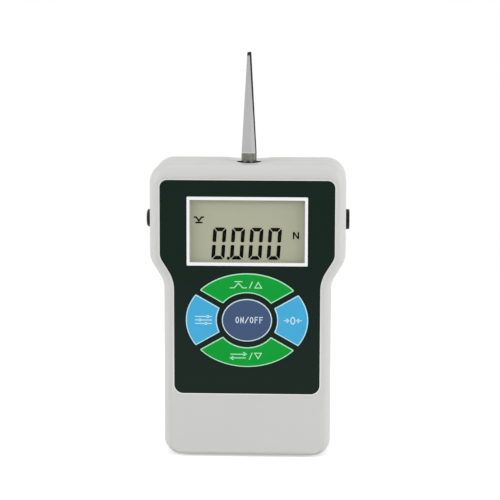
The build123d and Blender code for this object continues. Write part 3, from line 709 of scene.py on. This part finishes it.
# ---- Keys ----------------------------------------------------------------------------------------
# Five moulded keys, an oval power key inside a ring of four, that stand a little proud of the panel and are
# held behind the front cover by their flanges. Each has a printed face, a pale line round it and a pale
# symbol, or ON/OFF on the power key.
keys_z = 59.2
key_front = -18.3
ring_outer = (25.9, 20.1)
ring_inner = (12.8, 11.6)
ring_half_gap = 1.175
ring_split = 29.6
ring_corner = 0.45
power_reach = (10.64, 9.14)
line_from = 0.12
line_to = 0.44
print_depth = 0.01
print_width = 0.37
fine_width = 0.36
nought_width = 0.46
edge_turns_from = -0.97
outer_points, inner_points = 60, 40
turn_points = 7
power_points = 96
oval_points = 32


def ellipse(reach, turn, inset):
    """Points on an ellipse, moved inwards by inset along its normal: E(t) - inset * N(t). Also gives N."""
    point = np.column_stack([reach[0] * np.cos(turn), reach[1] * np.sin(turn)])
    normal = np.column_stack([np.cos(turn) / reach[0], np.sin(turn) / reach[1]])
    normal /= np.linalg.norm(normal, axis=1)[:, None]
    return point - inset * normal, normal


def corner_arc(centre, first, last, radius):
    """A corner's arc: centre + radius * (cos t, sin t), where t turns anticlockwise from the angle of its
    first outward normal to that of its last."""
    begin = np.arctan2(first[1], first[0])
    swing = (np.arctan2(last[1], last[0]) - begin) % (2 * np.pi)
    turn = begin + swing * np.linspace(0, 1, turn_points)
    return centre + radius * np.column_stack([np.cos(turn), np.sin(turn)])


def ring_key_outline(first_split, last_split, inset):
    """One key of the ring, inset from its edge: an arc of the outer ellipse, a straight side, an arc of the
    inner ellipse and the other side. Each corner is rounded about the point of the inset ellipse that lies
    the corner's radius from the side."""
    search, search_points = 0.6, 2001
    splits = []
    for split, way in ((first_split, 1.0), (last_split, -1.0)):
        angle = radians(split)
        splits.append((angle, way * np.array([-sin(angle), cos(angle)])))
    corners = []
    for reach, side in ((ring_outer, 1.0), (ring_inner, -1.0)):
        for angle, inward in splits:
            turn = np.linspace(angle - search, angle + search, search_points)
            point, _ = ellipse(reach, turn, side * ring_corner)
            past = point @ inward - ring_half_gap - ring_corner
            order = np.argsort(past)
            at = np.interp(0.0, past[order], turn[order])
            centre, normal = ellipse(reach, np.array([at]), side * ring_corner)
            corners.append((at, centre[0], side * normal[0], -inward))
    # The corners are outer first, outer last, inner first and inner last.
    places, centres, arc_normals, side_normals = zip(*corners)
    outer_arc, _ = ellipse(ring_outer, np.linspace(places[0], places[1], outer_points), inset)
    inner_arc, _ = ellipse(ring_inner, np.linspace(places[3], places[2], inner_points), -inset)
    round_off = ring_corner - inset
    path = [
        outer_arc,
        corner_arc(centres[1], arc_normals[1], side_normals[1], round_off),
        corner_arc(centres[3], side_normals[3], arc_normals[3], round_off),
        inner_arc,
        corner_arc(centres[2], arc_normals[2], side_normals[2], round_off),
        corner_arc(centres[0], side_normals[0], arc_normals[0], round_off),
    ]
    return np.vstack(path) + np.array([0.0, keys_z])


def power_key_outline(inset):
    """The oval power key, inset from its edge: an ellipse about the middle of the keys."""
    points, _ = ellipse(power_reach, np.linspace(0, 2 * np.pi, power_points, endpoint=False), inset)
    return points + np.array([0.0, keys_z])


def print_ink(points):
    """A printed line on the face of the keys."""
    return stroke(points, print_width, key_front, key_front - print_depth)


def ring_of_ink(centre_x, centre_z, radius_x, radius_z, width=print_width):
    """A printed oval line: the band between two ellipses, half its width outside and inside the radii."""
    turn = np.linspace(0, 2 * np.pi, oval_points, endpoint=False)
    unit = np.column_stack([np.cos(turn), np.sin(turn)])
    middle = np.array([centre_x, centre_z])
    outer = middle + unit * (np.array([radius_x, radius_z]) + width / 2)
    inner = middle + unit * (np.array([radius_x, radius_z]) - width / 2)
    return band(outer, inner, key_front, key_front - print_depth)


def triangle_of_ink(centre_x, low_z, high_z, half_width):
    """A printed open triangle on low_z that points to high_z: the band between two triangles whose sides
    are the fine line's width apart."""
    width = fine_width
    tall = abs(high_z - low_z)
    way = 1.0 if high_z > low_z else -1.0
    slant = (half_width**2 + tall**2) ** 0.5
    inner_half = half_width - width * (slant + half_width) / tall
    inner_tall = inner_half * tall / half_width
    outer = np.array([(-half_width, 0.0), (half_width, 0.0), (0.0, tall)])
    inner = np.array([(-inner_half, width), (inner_half, width), (0.0, width + inner_tall)])
    if way < 0:
        outer, inner = outer[::-1], inner[::-1]
    place = np.array([1.0, way])
    base = np.array([centre_x, low_z])
    return band(base + outer * place, base + inner * place, key_front, key_front - print_depth)


def key_finish(name, deep, light, edge_colour):
    """A key's printed face with a fine grain, and pale on the rounded edge that stands out of the panel."""
    material, start = start_finish(name)
    edge = (along(start, 1, output=1) > edge_turns_from) * (along(start, 1) < sheet_front * MM)
    grain = noise(start, 3000.0, 3.0)
    shade = noise(start, 70.0, 2.0)
    face = blend(shade, deep, light)
    surface(
        start,
        blend(edge, face, edge_colour),
        grain * 0.12 + 0.42,
        relief(grain, 0.005),
        Specular_IOR_Level=0.1,
    )
    return material


def thin_ink(name, deep, light):
    """Pale screen ink, thin enough for the key's own colour to tint it."""
    material, start = start_finish(name)
    coverage = noise(start, 2400.0, 2.0)
    surface(start, blend(coverage, deep, light), coverage * 0.1 + 0.45, Specular_IOR_Level=0.2)
    return material


green_ink = thin_ink("green_ink", (0.43, 0.78, 0.54), (0.49, 0.84, 0.60))
blue_ink = thin_ink("blue_ink", (0.50, 0.76, 0.84), (0.56, 0.80, 0.88))
slate_ink = thin_ink("slate_ink", (0.60, 0.72, 0.76), (0.66, 0.76, 0.80))
key_inks = {
    "power_key": slate_ink,
    "peak_key": green_ink,
    "unit_key": green_ink,
    "set_key": blue_ink,
    "zero_key": blue_ink,
}
slate_edge, green_edge, blue_edge = (0.55, 0.68, 0.74), (0.40, 0.76, 0.50), (0.46, 0.72, 0.80)
wear(key_finish("slate_key", (0.049, 0.085, 0.176), (0.060, 0.099, 0.200), slate_edge), "power_key")
green_key = key_finish("green_key", (0.0015, 0.300, 0.030), (0.004, 0.345, 0.042), green_edge)
wear(green_key, "peak_key", "unit_key")
blue_key = key_finish("blue_key", (0.053, 0.378, 0.650), (0.067, 0.418, 0.705), blue_edge)
wear(blue_key, "set_key", "zero_key")

ring = {
    "zero_key": (-ring_split, ring_split),
    "peak_key": (ring_split, 180 - ring_split),
    "set_key": (180 - ring_split, 180 + ring_split),
    "unit_key": (180 + ring_split, 360 - ring_split),
}
for name, splits in ring.items():
    edge_line = band(
        ring_key_outline(*splits, line_from),
        ring_key_outline(*splits, line_to),
        key_front,
        key_front - print_depth,
    )
    build(f"{name}_line", [edge_line], key_inks[name], name)
power_line = band(
    power_key_outline(line_from),
    power_key_outline(line_to),
    key_front,
    key_front - print_depth,
)
build("power_key_line", [power_line], slate_ink, "power_key")

# The power key reads ON/OFF in narrow drawn letters: ovals, uprights and bars of one line width.
letter_low = 57.95
letter_high = 60.7
letter_wide = 1.5
letter_pitch = 2.02
letter_inset = 0.2
slant_inset = 0.25
bar_inset = 0.21
bar_rise = 0.1
word_left = -4.85


def letter(shape, index):
    """The strokes of one letter of the power key, in the letter's own box."""
    left = word_left + letter_pitch * index
    right_edge = left + letter_wide
    middle_x, middle_z = left + letter_wide / 2, (letter_low + letter_high) / 2
    upright = [(left + letter_inset, letter_low), (left + letter_inset, letter_high)]
    if shape == "O":
        half_wide = letter_wide / 2 - letter_inset
        half_tall = (letter_high - letter_low) / 2 - letter_inset
        return [ring_of_ink(middle_x, middle_z, half_wide, half_tall)]
    if shape == "N":
        slant_start = (left + slant_inset, letter_high - letter_inset)
        slant_end = (right_edge - slant_inset, letter_low + letter_inset)
        far = [(right_edge - letter_inset, letter_low), (right_edge - letter_inset, letter_high)]
        return [print_ink(upright), print_ink([slant_start, slant_end]), print_ink(far)]
    if shape == "F":
        high_bar = letter_high - bar_inset
        low_bar = middle_z + bar_rise
        return [
            print_ink(upright),
            print_ink([(left + letter_inset, high_bar), (right_edge, high_bar)]),
            print_ink([(left + letter_inset, low_bar), (right_edge - slant_inset, low_bar)]),
        ]
    return [print_ink([(left, letter_low), (right_edge, letter_high)])]


word = [line for index, shape in enumerate("ON/OFF") for line in letter(shape, index)]
build("power_key_word", word, slate_ink, "power_key")

# The other keys carry plain symbols: a peak under a bar and an arrowhead up, two arrows that change places
# and an arrowhead down, three sliders, and a nought between two arrows.
peak_mark = [
    print_ink([(-7.2, 73.1), (-5.4, 73.1), (-3.6, 75.1), (-1.8, 73.1), (0.0, 73.1)]),
    print_ink([(-5.3, 75.75), (-1.9, 75.75)]),
    print_ink([(1.0, 72.9), (2.3, 75.8)]),
    triangle_of_ink(4.75, 72.9, 75.8, 1.75),
]
build("peak_key_mark", peak_mark, green_ink, "peak_key")
unit_mark = [
    print_ink([(-7.0, 44.6), (-0.4, 44.6)]),
    print_ink([(-1.5, 45.5), (-0.2, 44.6), (-1.5, 43.9)]),
    print_ink([(-7.0, 43.0), (-0.4, 43.0)]),
    print_ink([(-5.7, 43.7), (-7.1, 43.0), (-5.7, 42.2)]),
    print_ink([(1.0, 42.3), (2.3, 45.3)]),
    triangle_of_ink(4.75, 45.3, 42.4, 1.75),
]
build("unit_key_mark", unit_mark, green_ink, "unit_key")
slider_left, slider_right = -22.0, -14.8
slider_knob = 0.45
slider_break = 0.55
set_mark = []
for slider_z, knob_x in ((60.7, -16.6), (59.2, -19.9), (57.7, -17.4)):
    set_mark.append(print_ink([(slider_left, slider_z), (knob_x - slider_break, slider_z)]))
    set_mark.append(print_ink([(knob_x + slider_break, slider_z), (slider_right, slider_z)]))
    set_mark.append(ring_of_ink(knob_x, slider_z, slider_knob, slider_knob, fine_width))
build("set_key_mark", set_mark, blue_ink, "set_key")
zero_mark = [
    ring_of_ink(19.4, 59.2, 0.85, 1.45, nought_width),
    print_ink([(15.6, 59.2), (17.6, 59.2)]),
    print_ink([(16.7, 60.1), (17.75, 59.2), (16.7, 58.3)]),
    print_ink([(21.2, 59.2), (23.2, 59.2)]),
    print_ink([(22.1, 60.1), (21.05, 59.2), (22.1, 58.3)]),
]
build("zero_key_mark", zero_mark, blue_ink, "zero_key")


# ---- Sockets -------------------------------------------------------------------------------------
# Round charging and data sockets in the sides, moulded in black. The first has a bezel and a plated pin,
# and the second is held by a ring nut.
def black_moulding(name, deep, light, rough):
    """Moulded black plastic with a fine matt grain."""
    material, start = start_finish(name)
    grain = noise(start, 2600.0, 3.0)
    black = blend(grain, deep, light)
    surface(start, black, grain * 0.15 + rough, relief(grain, 0.01), Specular_IOR_Level=0.1)
    return material


wear(black_moulding("socket_grey", (0.014, 0.014, 0.015), (0.026, 0.026, 0.027), 0.4), "charging_socket")
wear(black_moulding("socket_black", (0.004, 0.004, 0.004), (0.010, 0.010, 0.010), 0.35), "data_socket")

nut_finish, start = start_finish("blackened_nut")
tooled = noise(start, 1800.0, 3.0)
surface(
    start,
    blend(tooled, (0.006, 0.006, 0.006), (0.02, 0.02, 0.02)),
    tooled * 0.2 + 0.35,
    relief(tooled, 0.01),
    Specular_IOR_Level=0.12,
)
wear(nut_finish, "data_socket_nut")

plated_pin, start = start_finish("plated_pin")
tooled = noise(start, 1500.0, 3.0, (4.0, 1.0, 1.0))
surface(start, blend(tooled, (0.70, 0.50, 0.20), (0.86, 0.68, 0.34)), tooled * 0.12 + 0.2, Metallic=1.0)
wear(plated_pin, "charging_pin")


# ---- Stem and probe ------------------------------------------------------------------------------
# A turned steel stem screwed into the load cell, and the probe on it: a square collar in oiled steel and
# a tapered blade. The blade is ground flat on its faces and on part of its narrow sides. Its narrow sides
# are painted darker as painted shade, near-black on the rest of them and at its tip, and its base and one
# side of its faces carry painted highlights.
stem_steel, start = start_finish("stem_steel")
tooled = noise(start, 900.0, 2.0, (1.0, 1.0, 8.0))
surface(
    start,
    blend(tooled, (0.50, 0.50, 0.50), (0.66, 0.66, 0.66)),
    tooled * 0.15 + 0.25,
    relief(tooled, 0.01),
    Metallic=1.0,
)
wear(stem_steel, "stem")

blade_turn = radians(-6.0)
sideways = 0.5


def turned(start, axis, output=3):
    """As along, but in the probe's own frame, which is turned about Z."""
    own = start.node("ShaderNodeTexCoord", output=output)
    aligned = start.node("ShaderNodeMapping", sockets={"Vector": own, "Rotation": (0, 0, -blade_turn)})
    return start.node("ShaderNodeSeparateXYZ", sockets={0: aligned}, output=axis)


# The collar is painted darker near its base by the hole, higher in waves along its faces.
collar_dark_level = 124.6
collar_dark_wave = 1.1
collar_dark_pitch = 2.7
collar_dark_fade = (-0.3, 0.4)
collar_steel, start = start_finish("oiled_steel")
mottle = noise(start, 650.0, 4.0)
patina = noise(start, 260.0, 3.0)
lobe = start.maths("COSINE", turned(start, 0) * (2 * np.pi / (collar_dark_pitch * MM))) * 0.5 + 0.5
over_collar_dark = lobe * (collar_dark_wave * MM) + collar_dark_level * MM - along(start, 2)
collar_dark = smooth_step(over_collar_dark, collar_dark_fade[0] * MM, collar_dark_fade[1] * MM)
patches = smooth_step(mottle * 0.6 + patina * 0.4, 0.35, 0.65)
steel = blend(patches, (0.185, 0.190, 0.160), (0.265, 0.270, 0.235))
# The collar's narrow sides are painted darker as painted shade.
side = start.maths("ABSOLUTE", turned(start, 1, output=1)) < sideways
steel = blend(side, steel, (0.10, 0.10, 0.09))
surface(
    start,
    blend(collar_dark, steel, (0.045, 0.045, 0.032)),
    mottle * 0.25 + 0.35,
    relief(mottle, 0.03),
    Metallic=0.8,
)
wear(collar_steel, "probe_collar")

# The narrow sides are painted dark as painted shade behind a slanting edge: y > (edge_z - z) * edge_slope -
# edge_back.
edge_z = 160.0
edge_slope = 0.075
edge_back = 2.7
# The tip is painted dark as painted shade too.
tip_from = 169.6
tip_to = 170.6
# The faces are painted lighter towards one side as a painted highlight.
bright_from = 0.5
bright_to = 2.4
# The blade's base above the collar is painted lighter as a painted highlight.
foot_high = 129.55
foot_low = 128.85
blade_steel, start = start_finish("ground_steel")
grinding = noise(start, 1500.0, 3.0, (1.0, 1.0, 0.03))
sheen = noise(start, 120.0, 2.0, (1.0, 1.0, 0.5))
narrow = start.maths("ABSOLUTE", turned(start, 1, output=1)) < sideways
shaded_narrow_side = narrow * (turned(start, 1) > (edge_z * MM - along(start, 2)) * edge_slope - edge_back * MM)
tip = smooth_step(along(start, 2), tip_from * MM, tip_to * MM)
dark = start.maths("MAXIMUM", shaded_narrow_side, tip)
side_highlight = smooth_step(turned(start, 0), bright_from * MM, bright_to * MM)
foot = smooth_step(along(start, 2), foot_high * MM, foot_low * MM)
flat_steel = blend(grinding * 0.5 + sheen * 0.5, (0.385, 0.385, 0.387), (0.535, 0.535, 0.537))
flat_steel = blend(side_highlight * 0.35, flat_steel, (0.66, 0.66, 0.66))
flat_steel = blend(foot * 0.5, flat_steel, (0.70, 0.70, 0.64))
flat_steel = blend(narrow, flat_steel, (0.26, 0.26, 0.26))
dark_steel = blend(sheen, (0.012, 0.012, 0.012), (0.06, 0.06, 0.06))
surface(
    start,
    blend(dark, flat_steel, dark_steel),
    grinding * 0.14 + 0.26,
    relief(grinding, 0.006),
    Metallic=1.0 - dark,
    Specular_IOR_Level=0.0,
)
wear(blade_steel, "probe_blade")
